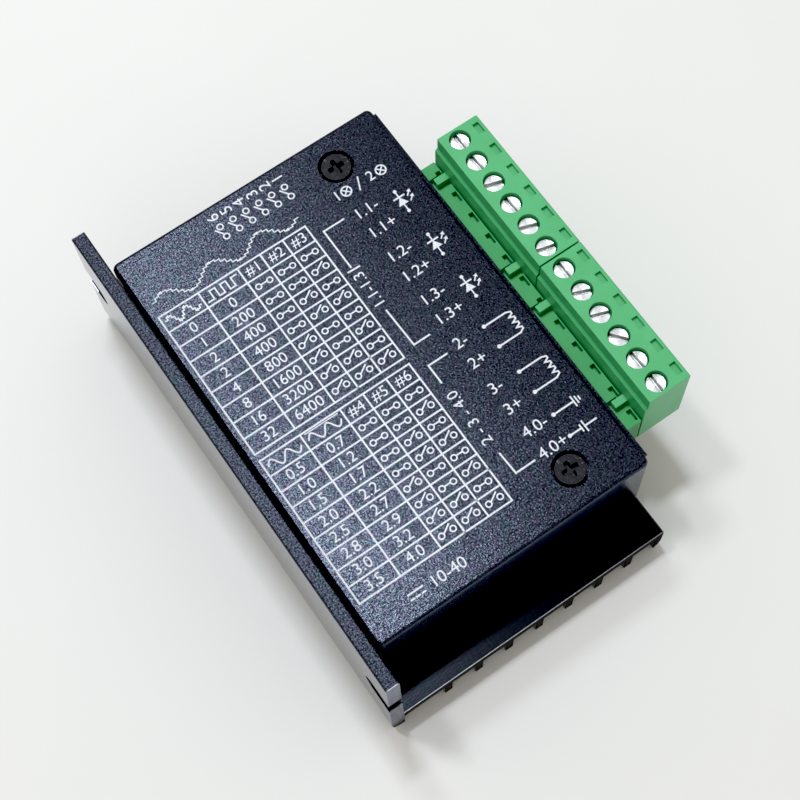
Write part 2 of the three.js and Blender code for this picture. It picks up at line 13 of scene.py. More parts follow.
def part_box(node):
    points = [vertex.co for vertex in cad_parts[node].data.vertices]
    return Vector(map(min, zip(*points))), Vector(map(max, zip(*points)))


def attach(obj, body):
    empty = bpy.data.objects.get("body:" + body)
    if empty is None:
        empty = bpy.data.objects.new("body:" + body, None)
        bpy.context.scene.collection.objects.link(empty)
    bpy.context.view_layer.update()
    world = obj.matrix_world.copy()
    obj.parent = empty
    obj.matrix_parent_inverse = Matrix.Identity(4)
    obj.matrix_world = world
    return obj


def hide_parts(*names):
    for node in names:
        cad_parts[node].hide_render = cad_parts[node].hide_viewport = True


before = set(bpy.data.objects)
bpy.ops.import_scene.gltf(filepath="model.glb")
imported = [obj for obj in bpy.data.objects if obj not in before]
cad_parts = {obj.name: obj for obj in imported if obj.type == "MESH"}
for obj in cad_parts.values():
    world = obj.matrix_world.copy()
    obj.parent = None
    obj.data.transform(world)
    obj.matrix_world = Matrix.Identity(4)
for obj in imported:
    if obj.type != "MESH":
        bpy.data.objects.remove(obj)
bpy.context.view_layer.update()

MM = 0.001
POLES = 12
SWITCHES = 6


# ------------------------------------------------------------------ shader helper

class Shader:
    """A procedural material: a Principled surface whose inputs come from small chains of nodes."""

    def __init__(self, name):
        self.material = bpy.data.materials.new(name)
        self.material.use_nodes = True
        self.tree = self.material.node_tree
        self.surface = self.tree.nodes["Principled BSDF"]
        self.place = self.tree.nodes.new("ShaderNodeTexCoord").outputs["Object"]

    def node(self, kind, **settings):
        made = self.tree.nodes.new(kind)
        for key, value in settings.items():
            setattr(made, key, value)
        return made

    def link(self, source, target):
        self.tree.links.new(source, target)

    def feed(self, node, key, value):
        """Puts a number, a colour or another node's output into an input."""
        if isinstance(value, bpy.types.NodeSocket):
            self.link(value, node.inputs[key])
        else:
            node.inputs[key].default_value = value

    def stretched(self, scale):
        mapping = self.node("ShaderNodeMapping")
        self.link(self.place, mapping.inputs["Vector"])
        mapping.inputs["Scale"].default_value = scale
        return mapping.outputs["Vector"]

    def noise(self, size_mm, detail=2.0, roughness=0.5, vector=None):
        """Noise whose features are about size_mm across."""
        made = self.node("ShaderNodeTexNoise")
        self.link(vector or self.place, made.inputs["Vector"])
        made.inputs["Scale"].default_value = 1000 / size_mm
        made.inputs["Detail"].default_value = detail
        made.inputs["Roughness"].default_value = roughness
        return made.outputs["Fac"]

    def cells(self, size_mm, feature="F1"):
        made = self.node("ShaderNodeTexVoronoi", feature=feature)
        self.link(self.place, made.inputs["Vector"])
        made.inputs["Scale"].default_value = 1000 / size_mm
        return made.outputs["Distance"]

    def axis(self, letter, vector=None):
        made = self.node("ShaderNodeSeparateXYZ")
        self.link(vector or self.place, made.inputs[0])
        return made.outputs[letter]

    def sum(self, operation, first, second=0.0, third=0.0):
        made = self.node("ShaderNodeMath", operation=operation)
        self.feed(made, 0, first)
        self.feed(made, 1, second)
        self.feed(made, 2, third)
        return made.outputs[0]

    def spread(self, value, low, high, out_low=0.0, out_high=1.0):
        """Maps low..high onto out_low..out_high, clamped."""
        made = self.node("ShaderNodeMapRange")
        self.feed(made, "Value", value)
        self.feed(made, "From Min", low)
        self.feed(made, "From Max", high)
        self.feed(made, "To Min", out_low)
        self.feed(made, "To Max", out_high)
        return made.outputs["Result"]

    def mix(self, share, first, second):
        made = self.node("ShaderNodeMix", data_type="RGBA")
        self.feed(made, 0, share)
        self.feed(made, 6, first)
        self.feed(made, 7, second)
        return made.outputs[2]

    def bump(self, height, depth_mm, strength=1.0, under=None):
        made = self.node("ShaderNodeBump")
        made.inputs["Strength"].default_value = strength
        made.inputs["Distance"].default_value = depth_mm * MM
        self.feed(made, "Height", height)
        if under is not None:
            self.link(under, made.inputs["Normal"])
        return made.outputs["Normal"]

    def set(self, **inputs):
        """Sets the surface's inputs; an underscore in a name stands for a space."""
        for key, value in inputs.items():
            self.feed(self.surface, key.replace("_", " "), value)
        return self


def rgb(red, green, blue):
    return (red, green, blue, 1.0)


# ------------------------------------------------------------------ materials

END_MASK_MM = 47.85
OUTER_FACE = -0.0354
WALL_FACE = -0.0329
NEAR_END = -0.0404
GRAIN_MM = 0.30
FLECK_MM = 0.28
GLINT_MM = 0.34
FLECK_BLUE = rgb(0.090, 0.105, 0.190)
FLECK_WARM = rgb(0.130, 0.115, 0.135)
VIOLET_GLOSS = rgb(0.74, 0.73, 1.0)
TEAL_GLOSS = rgb(0.66, 0.80, 0.97)


def flecked(made, dark, share=1.0):
    """The base colour of a sparkling dark finish: small light flecks, some bluish and some warm."""
    flecks = made.sum("MULTIPLY", made.spread(made.noise(FLECK_MM, 1.5, 0.6), 0.55, 0.76), share)
    tint = made.mix(made.spread(made.noise(1.1, 1.0, 0.5), 0.42, 0.58), FLECK_BLUE, FLECK_WARM)
    return made.mix(flecks, dark, tint)


def glints(made):
    """How strongly each grain of the coating shines."""
    return made.spread(made.noise(GLINT_MM, 1.5, 0.6), 0.38, 0.68, 0.12, 0.74)


def gloss_tint(made):
    """The tint of the shine, from violet to teal in patches a few grains wide."""
    return made.mix(made.spread(made.noise(1.7, 2.0, 0.6), 0.40, 0.60), VIOLET_GLOSS, TEAL_GLOSS)


def cover_material():
    """Dark blue-black grained coating, with a painted light band high on its near end face."""
    made = Shader("cover_paint")
    grain = made.noise(GRAIN_MM, 2.0, 0.55)
    broad = made.noise(26.0, 2.0, 0.5)
    base = made.mix(made.spread(broad, 0.3, 0.7), rgb(0.0034, 0.0046, 0.0105), rgb(0.0046, 0.0060, 0.0135))
    # Painted light: the near end face is painted a lighter blue just under its top edge, where it catches
    # light.
    near_end = made.sum("LESS_THAN", made.axis("Y"), NEAR_END)
    painted_end_light = made.sum("MULTIPLY", near_end, made.spread(made.axis("Z"), 0.019, 0.026))
    base = made.mix(painted_end_light, base, rgb(0.018, 0.028, 0.055))
    made.set(Base_Color=flecked(made, base, 0.5), Normal=made.bump(grain, 0.034), IOR=1.50,
             Specular_IOR_Level=glints(made), Roughness=made.spread(grain, 0.3, 0.7, 0.23, 0.15),
             Specular_Tint=gloss_tint(made))
    return made.material


def anodised_material():
    """Black anodised extrusion, with bare sawn faces at both ends, darkened low down by painted shade and
    with a painted highlight line along the top edge of the plate's end.
    """
    made = Shader("anodised_black")
    grain = made.noise(GRAIN_MM, 2.0, 0.55)
    along = made.noise(0.35, 2.0, 0.5, made.stretched((1.0, 0.04, 1.0)))
    high = made.spread(made.axis("Z"), 0.020, 0.030)
    tinge = made.mix(high, rgb(0.0048, 0.0044, 0.0044), rgb(0.0022, 0.0028, 0.0060))
    paint = flecked(made, tinge, made.spread(high, 0.0, 1.0, 0.05, 0.8))
    distance = made.sum("MULTIPLY", made.sum("ABSOLUTE", made.axis("Y")), 1000.0)
    sawn = made.sum("GREATER_THAN", distance, END_MASK_MM)
    saw_lines = made.noise(0.5, 2.0, 0.6, made.stretched((1.0, 1.0, 0.06)))
    wall = made.sum("LESS_THAN", made.axis("X"), WALL_FACE)
    # Painted shade: low down, the sawn ends of the fins, the plate and the wall's foot are darkened and lose
    # their reflection.
    wall_unshaded = made.sum("MULTIPLY", wall, made.spread(made.axis("Z"), 0.001, 0.006))
    # Bare metal stays on the wall's end above its foot and on everything above 7.5 mm; the band from 7.2 to
    # 7.5 mm along the top edge of the plate's end is a painted highlight line.
    bare_and_glint_line = made.sum("MAXIMUM", wall_unshaded, made.spread(made.axis("Z"), 0.0072, 0.0075))
    painted_shade_mask = made.sum("MULTIPLY", sawn, made.sum("SUBTRACT", 1.0, bare_and_glint_line))
    bare = made.mix(saw_lines, rgb(0.16, 0.165, 0.18), rgb(0.40, 0.405, 0.43))
    # Colour of the painted shade on the low sawn ends.
    painted_end_shade = made.mix(saw_lines, rgb(0.030, 0.029, 0.029), rgb(0.062, 0.060, 0.060))
    metal = made.mix(bare_and_glint_line, painted_end_shade, bare)
    outer = made.sum("LESS_THAN", made.axis("X"), OUTER_FACE)
    grained = made.sum("MULTIPLY", grain, made.spread(high, 0.0, 1.0, 0.12, 1.0))
    grained = made.sum("MULTIPLY", grained, made.spread(outer, 0.0, 1.0, 1.0, 0.2))
    heights = made.sum("ADD", grained, made.sum("MULTIPLY", along, 0.15))
    height = made.spread(sawn, 0.0, 1.0, heights, made.sum("MULTIPLY", saw_lines, 0.5))
    index = made.spread(outer, 0.0, 1.0, made.spread(wall, 0.0, 1.0, 1.30, 1.42), 1.90)
    shine = made.sum("MULTIPLY", made.sum("MULTIPLY", sawn, bare_and_glint_line), 0.8)
    on_wall = made.spread(high, 0.0, 1.0, 0.55, 0.27)
    rough = made.sum("MULTIPLY_ADD", sawn, 0.15, made.spread(wall, 0.0, 1.0, 0.15, on_wall))
    level = made.spread(outer, 0.0, 1.0, made.spread(high, 0.0, 1.0, 0.45, glints(made)), 0.5)
    # Where the painted shade lies on the sawn ends, the reflection is switched off as well.
    made.set(Base_Color=made.mix(sawn, paint, metal), Metallic=shine, IOR=index,
             Roughness=made.spread(outer, 0.0, 1.0, rough, 0.08),
             Specular_IOR_Level=made.spread(painted_shade_mask, 0.0, 1.0, level, 0.0),
             Normal=made.bump(height, 0.045), Specular_Tint=gloss_tint(made))
    return made.material


def green_plastic(name, deep, pale, rough):
    """Moulded polyamide: slightly uneven colour, a fine matt grain and faint flow marks."""
    made = Shader(name)
    broad = made.noise(7.0, 3.0, 0.6)
    grain = made.noise(0.16, 2.0, 0.5)
    flow = made.noise(2.2, 2.0, 0.5, made.stretched((1.0, 0.35, 1.0)))
    colour = made.mix(made.spread(broad, 0.25, 0.75), deep, pale)
    height = made.sum("ADD", grain, made.sum("MULTIPLY", flow, 1.6))
    made.set(Base_Color=colour, Roughness=made.spread(grain, 0.3, 0.7, rough - 0.05, rough + 0.07),
             Normal=made.bump(height, 0.012), IOR=1.53, Subsurface_Weight=0.08, Subsurface_Scale=0.0008)
    made.surface.inputs["Subsurface Radius"].default_value = (0.3, 1.0, 0.4)
    return made.material


def turned_metal(name, tint, rough, ring_mm=0.11, depth_mm=0.010):
    """Plated metal with turning rings about the piece's own Z axis and light scuffs."""
    made = Shader(name)
    x, y = made.axis("X"), made.axis("Y")
    radius = made.sum("SQRT", made.sum("ADD", made.sum("MULTIPLY", x, x), made.sum("MULTIPLY", y, y)))
    rings = made.sum("SINE", made.sum("MULTIPLY", radius, 2 * math.pi / (ring_mm * MM)))
    scuffs = made.noise(0.4, 3.0, 0.7)
    colour = made.mix(made.spread(scuffs, 0.35, 0.75), tint, rgb(*(0.72 * c for c in tint[:3])))
    height = made.sum("ADD", made.sum("MULTIPLY", rings, 0.3), made.sum("MULTIPLY", scuffs, 1.5))
    made.set(Base_Color=colour, Metallic=1.0, Roughness=made.spread(scuffs, 0.3, 0.7, rough, rough + 0.16),
             Normal=made.bump(height, depth_mm))
    return made.material


def black_steel_material():
    """Blackened screw steel, with brighter worn spots."""
    made = Shader("blackened_steel")
    wear = made.noise(0.55, 4.0, 0.65)
    grain = made.noise(0.12, 2.0, 0.5)
    colour = made.mix(made.spread(wear, 0.60, 0.74), rgb(0.012, 0.012, 0.014), rgb(0.16, 0.16, 0.17))
    made.set(Base_Color=colour, Metallic=0.75, Roughness=made.spread(grain, 0.3, 0.7, 0.20, 0.34),
             Normal=made.bump(grain, 0.010))
    return made.material


def ink_material():
    """White screen printing, a little uneven."""
    made = Shader("white_ink")
    broken = made.noise(0.22, 3.0, 0.6)
    colour = made.mix(made.spread(broken, 0.28, 0.62), rgb(0.50, 0.54, 0.64), rgb(0.86, 0.89, 0.95))
    made.set(Base_Color=colour, Roughness=0.5, Normal=made.bump(broken, 0.010))
    return made.material


def board_material():
    """Green solder mask over copper tracks."""
    made = Shader("solder_mask")
    tracks = made.spread(made.cells(4.2, "DISTANCE_TO_EDGE"), 0.05, 0.07)
    weave = made.noise(0.5, 2.0, 0.5)
    colour = made.mix(tracks, rgb(0.010, 0.110, 0.035), rgb(0.004, 0.062, 0.020))
    height = made.sum("ADD", made.sum("MULTIPLY", tracks, -1.0), made.sum("MULTIPLY", weave, 0.3))
    made.set(Base_Color=colour, Roughness=made.spread(weave, 0.3, 0.7, 0.22, 0.34),
             Normal=made.bump(height, 0.03))
    return made.material


def moulded(name, dark, pale, rough, grain_mm=0.25, depth_mm=0.012, metallic=0.0):
    """A plain moulded or cast finish with grain and slow colour change."""
    made = Shader(name)
    broad = made.noise(4.0, 3.0, 0.6)
    grain = made.noise(grain_mm, 3.0, 0.55)
    made.set(Base_Color=made.mix(made.spread(broad, 0.3, 0.7), dark, pale), Metallic=metallic,
             Roughness=made.spread(grain, 0.3, 0.7, rough - 0.05, rough + 0.08),
             Normal=made.bump(grain, depth_mm))
    return made.material


def lamp_material(name, tint):
    """Tinted clear resin."""
    made = Shader(name)
    swirl = made.noise(1.2, 2.0, 0.5)
    made.set(Base_Color=made.mix(swirl, tint, rgb(*(0.7 * c for c in tint[:3]))), Roughness=0.12,
             Normal=made.bump(swirl, 0.01), IOR=1.5, Transmission_Weight=0.55)
    return made.material


ANODISED = anodised_material()
COVER = cover_material()
PLUG_GREEN = green_plastic("plug_plastic", rgb(0.062, 0.410, 0.145), rgb(0.082, 0.470, 0.180), 0.36)
HEADER_GREEN = green_plastic("header_plastic", rgb(0.018, 0.300, 0.075), rgb(0.028, 0.350, 0.095), 0.36)
NICKEL = turned_metal("nickel_plate", rgb(0.66, 0.66, 0.67), 0.24)
BRASS = turned_metal("spacer_brass", rgb(0.70, 0.50, 0.22), 0.26)
TIN = moulded("tinned_pin", rgb(0.62, 0.62, 0.62), rgb(0.72, 0.72, 0.71), 0.30, 0.2, 0.01, 1.0)
BLACK_STEEL = black_steel_material()
INK = ink_material()
BOARD = board_material()
CHIP_BLACK = moulded("chip_resin", rgb(0.010, 0.010, 0.011), rgb(0.016, 0.016, 0.017), 0.55, 0.12)
PAD_GREY = moulded("silicone_pad", rgb(0.22, 0.24, 0.28), rgb(0.30, 0.32, 0.36), 0.65, 0.3)
BARE_ALUMINIUM = moulded("milled_block", rgb(0.52, 0.53, 0.54), rgb(0.62, 0.63, 0.64), 0.32, 0.2, 0.01, 1.0)
CAN_BLACK = moulded("can_sleeve", rgb(0.012, 0.013, 0.018), rgb(0.020, 0.021, 0.027), 0.35, 0.4)
CERAMIC = moulded("resistor_ceramic", rgb(0.020, 0.020, 0.022), rgb(0.030, 0.030, 0.032), 0.45, 0.2)
SWITCH_RED = moulded("switch_case", rgb(0.36, 0.020, 0.014), rgb(0.44, 0.026, 0.018), 0.38, 0.2)
SLIDER_WHITE = moulded("slider_plastic", rgb(0.66, 0.66, 0.64), rgb(0.76, 0.76, 0.73), 0.42, 0.2)
LAMP_GREEN = lamp_material("lamp_resin_green", rgb(0.10, 0.62, 0.12))
LAMP_RED = lamp_material("lamp_resin_red", rgb(0.75, 0.05, 0.04))


# ------------------------------------------------------------------ pieces from frame nodes

WELD = 1e-7
FLAT_DEGREES = 0.6


def solid_of(node, merged=True):
    """The node's mesh, with the triangles of each flat face merged unless the face has many holes."""
    shape = bmesh.new()
    shape.from_mesh(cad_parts[node].data)
    bmesh.ops.remove_doubles(shape, verts=shape.verts[:], dist=WELD)
    if merged:
        limit = math.radians(FLAT_DEGREES)
        bmesh.ops.dissolve_limit(shape, angle_limit=limit, verts=shape.verts[:], edges=shape.edges[:])
    return shape


def placed(name, shape, material, origin=None):
    """An object from a bmesh in the frame's place, with its origin moved to a point if one is given."""
    mesh = bpy.data.meshes.new(name)
    if origin is not None:
        bmesh.ops.translate(shape, verts=shape.verts[:], vec=-Vector(origin))
    shape.to_mesh(mesh)
    shape.free()
    mesh.materials.clear()
    mesh.materials.append(material)
    piece = bpy.data.objects.new(name, mesh)
    bpy.context.scene.collection.objects.link(piece)
    if origin is not None:
        piece.location = origin
    return piece


def softened(piece, width_mm, segments=2, degrees=30):
    """Rounds the sharp edges and keeps the flat faces flat."""
    for face in piece.data.polygons:
        face.use_smooth = True
    piece.data.set_sharp_from_angle(angle=math.radians(degrees))
    if width_mm > 0:
        bevel = piece.modifiers.new("edges", "BEVEL")
        bevel.width = width_mm * MM
        bevel.segments = segments
        bevel.limit_method = "ANGLE"
        bevel.angle_limit = math.radians(degrees)
        bevel.use_clamp_overlap = True
        bevel.harden_normals = False
        bevel.miter_outer = "MITER_ARC"
    normals = piece.modifiers.new("normals", "WEIGHTED_NORMAL")
    normals.keep_sharp = True
    return piece


def refined(node, body, material, width_mm=0.12, segments=2, axis=None, degrees=30, merged=True):
    """A finished piece that stands for a frame node of the same shape."""
    piece = placed(node + "_body", solid_of(node, merged), material, axis)
    softened(piece, width_mm, segments, degrees)
    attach(piece, body)
    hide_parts(node)
    return piece


def middle(node):
    low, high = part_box(node)
    return (low + high) / 2


def make_housing():
    refined("heat_sink", "housing", ANODISED, 0.18)
    refined("cover", "housing", COVER, 0.10)
    refined("terminal_header", "housing", HEADER_GREEN, 0.10)
    refined("circuit_board", "housing", BOARD, 0.08)
    refined("switch_body", "housing", SWITCH_RED, 0.05, merged=False)
    for name in ("cover_screw_near", "cover_screw_far"):
        refined(name, "housing", BLACK_STEEL, 0.10, axis=middle(name))
    for name in ("board_screw_near_wall", "board_screw_far_wall"):
        refined(name, "housing", NICKEL, 0.10, axis=middle(name))
    for name in ("near_terminal", "far_terminal", "near_wall", "far_wall"):
        refined("spacer_" + name, "housing", BRASS, 0.12, axis=middle("spacer_" + name))


def make_electronics():
    for name in ("capacitor_1", "capacitor_2"):
        refined(name, "housing", CAN_BLACK, 0.5, 3)
    for i in range(3):
        refined(f"optocoupler_{i + 1}", "housing", CHIP_BLACK, 0.2)
    for i in range(2):
        refined(f"sense_resistor_{i + 1}", "housing", CERAMIC, 0.12)
    refined("regulator", "housing", CHIP_BLACK, 0.15)
    refined("driver_chip", "housing", CHIP_BLACK, 0.1)
    refined("thermal_pad", "housing", PAD_GREY, 0.1)
    refined("heat_block", "housing", BARE_ALUMINIUM, 0.25)
    refined("power_lamp", "housing", LAMP_GREEN, 0.12)
    refined("alarm_lamp", "housing", LAMP_RED, 0.12)


def make_moving_pieces():
    for i in range(SWITCHES):
        name = f"switch_slider_{i + 1}"
        refined(name, name, SLIDER_WHITE, 0.12)
    for name in ("signal_plug", "power_plug"):
        refined(name, name, PLUG_GREEN, 0.14)
    for i in range(POLES):
        screw, cage = f"clamp_screw_{i + 1}", f"clamp_cage_{i + 1}"
        refined(screw, screw, NICKEL, 0.14, axis=middle(screw))
        refined(cage, cage, NICKEL, 0.12, axis=middle(cage))


# Half width and reach from the header's back face, along one header pin.
PIN_PROFILE_MM = ((0.50, 0.3), (0.50, 7.0), (0.26, 8.0))


def make_header_pins():
    """Square tinned pins with tapered tips, one a pole, that stand in the header's tray."""
    back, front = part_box("terminal_header")
    z = (back[2] + front[2]) / 2
    for i in range(POLES):
        y = middle(f"clamp_cage_{i + 1}")[1]
        shape = bmesh.new()
        rings = []
        for half, reach in PIN_PROFILE_MM:
            corners = [(-half, -half), (half, -half), (half, half), (-half, half)]
            x = back[0] + reach * MM
            rings.append([shape.verts.new((x, y + a * MM, z + b * MM)) for a, b in corners])
        shape.faces.new(rings[0][::-1])
        shape.faces.new(rings[-1])
        for near, far in zip(rings, rings[1:]):
            for k in range(4):
                shape.faces.new((near[k], near[(k + 1) % 4], far[(k + 1) % 4], far[k]))
        pin = placed(f"header_pin_{i + 1}", shape, TIN)
        softened(pin, 0.06)
        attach(pin, "housing")


# ------------------------------------------------------------------ printing on the cover

INK_WIDTH_MM = 0.32
INK_HEIGHT_MM = 0.03
INK_SUNK_MM = 0.01
INK_STEP_MM = 0.0006
INK_STEPS = 13
DIGIT_HEIGHT_SHARE = 0.7


class Print:
    """Raised ink on the cover's top, laid out in mm from the cover's lowest X and Y."""

    def __init__(self, name):
        low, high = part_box("cover")
        self.name = name
        self.origin = Vector((low.x, low.y, high.z))
        self.shape = bmesh.new()
        self.count = 0

    def prism(self, points):
        """A flat outline raised to the ink's height; a tiny step in height keeps crossing bars apart."""
        self.count += 1
        height = INK_HEIGHT_MM + INK_STEP_MM * (self.count % INK_STEPS)
        bottom = [self.shape.verts.new((x * MM, y * MM, -INK_SUNK_MM * MM)) for x, y in points]
        top = [self.shape.verts.new((x * MM, y * MM, height * MM)) for x, y in points]
        self.shape.faces.new(top)
        self.shape.faces.new(bottom[::-1])
        for i in range(len(points)):
            j = (i + 1) % len(points)
            self.shape.faces.new((bottom[i], bottom[j], top[j], top[i]))

    def line(self, start, end, width=INK_WIDTH_MM, over=0.5):
        """A bar from start to end, running past each by a share of its width."""
        a, b = Vector(start), Vector(end)
        along = (b - a).normalized()
        side = Vector((-along.y, along.x)) * width / 2
        a, b = a - along * width * over, b + along * width * over
        self.prism([tuple(a - side), tuple(b - side), tuple(b + side), tuple(a + side)])

    def path(self, points, width=INK_WIDTH_MM):
        """One mitred ribbon along the points."""
        spots = [Vector(p) for p in points]
        ways = [(b - a).normalized() for a, b in zip(spots, spots[1:])]
        spots[0] -= ways[0] * width / 2
        spots[-1] += ways[-1] * width / 2
        left, right = [], []
        for i, spot in enumerate(spots):
            before, after = ways[max(i - 1, 0)], ways[min(i, len(ways) - 1)]
            side = Vector((-before.y - after.y, before.x + after.x)).normalized()
            reach = width / 2 / max(side.dot(Vector((-after.y, after.x))), 0.35)
            left.append(tuple(spot + side * reach))
            right.append(tuple(spot - side * reach))
        self.prism(right + left[::-1])

    def dot(self, centre, radius, corners=18):
        self.prism([(centre[0] + radius * math.cos(2 * math.pi * i / corners),
                     centre[1] + radius * math.sin(2 * math.pi * i / corners)) for i in range(corners)])

    def ring(self, centre, radius, width=INK_WIDTH_MM, corners=20):
        def spot(i, reach):
            angle = 2 * math.pi * i / corners
            return (centre[0] + reach * math.cos(angle), centre[1] + reach * math.sin(angle))
        for i in range(corners):
            self.prism([spot(i, radius - width / 2), spot(i, radius + width / 2),
                        spot(i + 1, radius + width / 2), spot(i + 1, radius - width / 2)])

    def text(self, words, centre, height, turn=0.0, stretch=1.0, left=False):
        """Numerals and signs, centred on a point, or starting there."""
        curve = bpy.data.curves.new("numerals", "FONT")
        curve.body = words
        curve.size = height / DIGIT_HEIGHT_SHARE * MM
        curve.align_x = "LEFT" if left else "CENTER"
        curve.align_y = "CENTER"
        curve.extrude = (INK_HEIGHT_MM + INK_SUNK_MM) / 2 * MM
        curve.offset = 0.0
        curve.resolution_u = 3
        written = bpy.data.objects.new("numerals", curve)
        bpy.context.scene.collection.objects.link(written)
        mesh = bpy.data.meshes.new_from_object(written.evaluated_get(bpy.context.evaluated_depsgraph_get()))
        rise = (INK_HEIGHT_MM - INK_SUNK_MM) / 2 * MM
        mesh.transform(Matrix.Translation((centre[0] * MM, centre[1] * MM, rise))
                       @ Matrix.Rotation(math.radians(turn), 4, "Z") @ Matrix.Diagonal((stretch, 1, 1, 1)))
        self.shape.from_mesh(mesh)
        bpy.data.objects.remove(written)
        bpy.data.curves.remove(curve)
        bpy.data.meshes.remove(mesh)

    def place(self):
        bmesh.ops.remove_doubles(self.shape, verts=self.shape.verts[:], dist=1e-8)
        piece = placed(self.name, self.shape, INK)
        piece.location = self.origin
        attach(piece, "housing")
        return piece


TABLE_LEFT_MM = 1.7
COLUMN_MM = (8.07, 8.07, 4.75, 4.75, 4.75)
FIRST_TABLE_MM = (39.0, 69.7)
SECOND_TABLE_MM = (7.85, 37.6)
ROWS = 9
STEP_ROWS = ("0", "1", "2", "2", "4", "8", "16", "32")
PULSE_ROWS = ("0", "200", "400", "400", "800", "1600", "3200", "6400")
AMPERE_ROWS = ("0.5", "1.0", "1.5", "2.0", "2.5", "2.8", "3.0", "3.5")
PEAK_ROWS = ("0.7", "1.2", "1.7", "2.2", "2.7", "2.9", "3.2", "4.0")
TERMINAL_MARKS = ("1.1-", "1.1+", "1.2-", "1.2+", "1.3-", "1.3+", "2-", "2+", "3-", "3+", "4.0-", "4.0+")
TERMINAL_ROWS_MM = (66.1, 61.6, 55.8, 51.2, 45.7, 41.3, 35.8, 31.3, 25.6, 21.1, 16.0, 11.4)
MARK_X_MM = 40.3
DIODE_X_MM = 48.8
COIL_X_MM = 46.5
SUPPLY_X_MM = 46.6
SINE_STEPS = 28
TITLE_Y_MM = 72.2
LAMP_Y_MM = 71.2
SWITCH_PITCH_MM = 2.72
FIRST_SWITCH_X_MM = 33.4
SWITCH_CONTACT_Y_MM = 77.2
SWITCH_NUMBER_Y_MM = 80.5


def column_edges():
    edges = [TABLE_LEFT_MM]
    for width in COLUMN_MM:
        edges.append(edges[-1] + width)
    return edges


def table_grid(ink, low, high):
    edges = column_edges()
    for i in range(ROWS + 1):
        y = low + (high - low) * i / ROWS
        ink.line((edges[0], y), (edges[-1], y))
    for x in edges:
        ink.line((x, low), (x, high))


def contact(ink, centre, closed, turn=0.0, half=1.15, ring=0.52):
    """A switch contact: two rings joined by a bar that lies flat when closed and stands up when open."""
    c, s = math.cos(math.radians(turn)), math.sin(math.radians(turn))

    def spot(x, y):
        return (centre[0] + c * x - s * y, centre[1] + s * x + c * y)

    ink.ring(spot(-half, 0), ring, 0.26, 14)
    ink.ring(spot(half, 0), ring, 0.26, 14)
    ink.line(spot(-half + ring, 0.1), spot(half - ring, 0.1) if closed else spot(half - 0.1, 1.15), 0.28, 0.0)


def table_cells(ink, marks, low, high, first, second, switch_numbers, states):
    edges = column_edges()
    height = (high - low) / ROWS
    centres = [(edges[i] + edges[i + 1]) / 2 for i in range(5)]
    for k, number in enumerate(switch_numbers):
        ink.text("#" + number, (centres[2 + k], high - height / 2), 2.0)
    for row in range(ROWS - 1):
        y = high - height * (row + 1.5)
        ink.text(first[row], (centres[0], y), 2.0)
        ink.text(second[row], (centres[1], y), 2.0)
        for k in range(3):
            contact(marks, (centres[2 + k], y), states[row][k])


def stepped_wave(ink, left, right, middle_y, swing, periods, steps, width=INK_WIDTH_MM):
    """A sine drawn as a staircase."""
    count = periods * steps
    points = []
    for i in range(count):
        y = middle_y + swing * math.sin(2 * math.pi * (i + 0.5) / steps)
        points.append((left + (right - left) * i / count, y))
        points.append((left + (right - left) * (i + 1) / count, y))
    ink.path(points, width)


def header_signs(ink):
    """Signs over the wide columns: staircase, pulse train, sine and peak."""
    edges = column_edges()
    y = FIRST_TABLE_MM[1] - (FIRST_TABLE_MM[1] - FIRST_TABLE_MM[0]) / ROWS / 2
    stepped_wave(ink, edges[0] + 0.7, edges[1] - 0.7, y, 0.95, 2, 8, 0.26)
    x = edges[1] + 0.7
    pulses = []
    for i in range(6):
        level = y + (0.9 if i % 2 else -0.9)
        pulses += [(x, level), (x + 1.1, level)]
        x += 1.1
    ink.path(pulses, 0.28)
    y = SECOND_TABLE_MM[1] - (SECOND_TABLE_MM[1] - SECOND_TABLE_MM[0]) / ROWS / 2
    for column, peaked in ((0, False), (1, True)):
        left, right = edges[column] + 0.8, edges[column + 1] - 0.8
        ink.path([(left + (right - left) * i / SINE_STEPS, y + 0.9 * math.sin(4 * math.pi * i / SINE_STEPS))
                  for i in range(SINE_STEPS + 1)], 0.28)
        if peaked:
            ink.line((left, y + 1.25), (right, y + 1.25), 0.2)


def diode_mark(ink, x, top, bottom):
    """A light-emitting diode across a pair of terminals."""
    centre = (top + bottom) / 2
    ink.line((x, bottom), (x, top), 0.26)
    ink.dot((x, top), 0.34)
    ink.dot((x, bottom), 0.34)
    ink.prism([(x - 1.0, centre - 0.75), (x + 1.0, centre - 0.75), (x, centre + 0.85)])
    ink.line((x - 1.0, centre + 0.9), (x + 1.0, centre + 0.9), 0.32)
    for lift in (0.35, -0.75):
        ink.line((x + 1.5, centre + lift), (x + 2.2, centre + lift + 0.7), 0.24)
        ink.prism([(x + 2.5, centre + lift + 1.0), (x + 1.75, centre + lift + 0.85),
                   (x + 2.35, centre + lift + 0.25)])


def coil_mark(ink, x, top, bottom, reach):
    """A motor winding across a pair of terminals."""
    for y in (top, bottom):
        ink.dot((x, y), 0.38)
        ink.line((x, y), (x + reach, y))
    bumps = 4
    step = (top - bottom) / bumps
    points = [(x + reach, top)]
    for i in range(bumps):
        points.append((x + reach + 0.85, top - step * (i + 0.28)))
        points.append((x + reach + 0.85, top - step * (i + 0.62)))
        points.append((x + reach, top - step * (i + 1)))
    ink.path(points, 0.3)


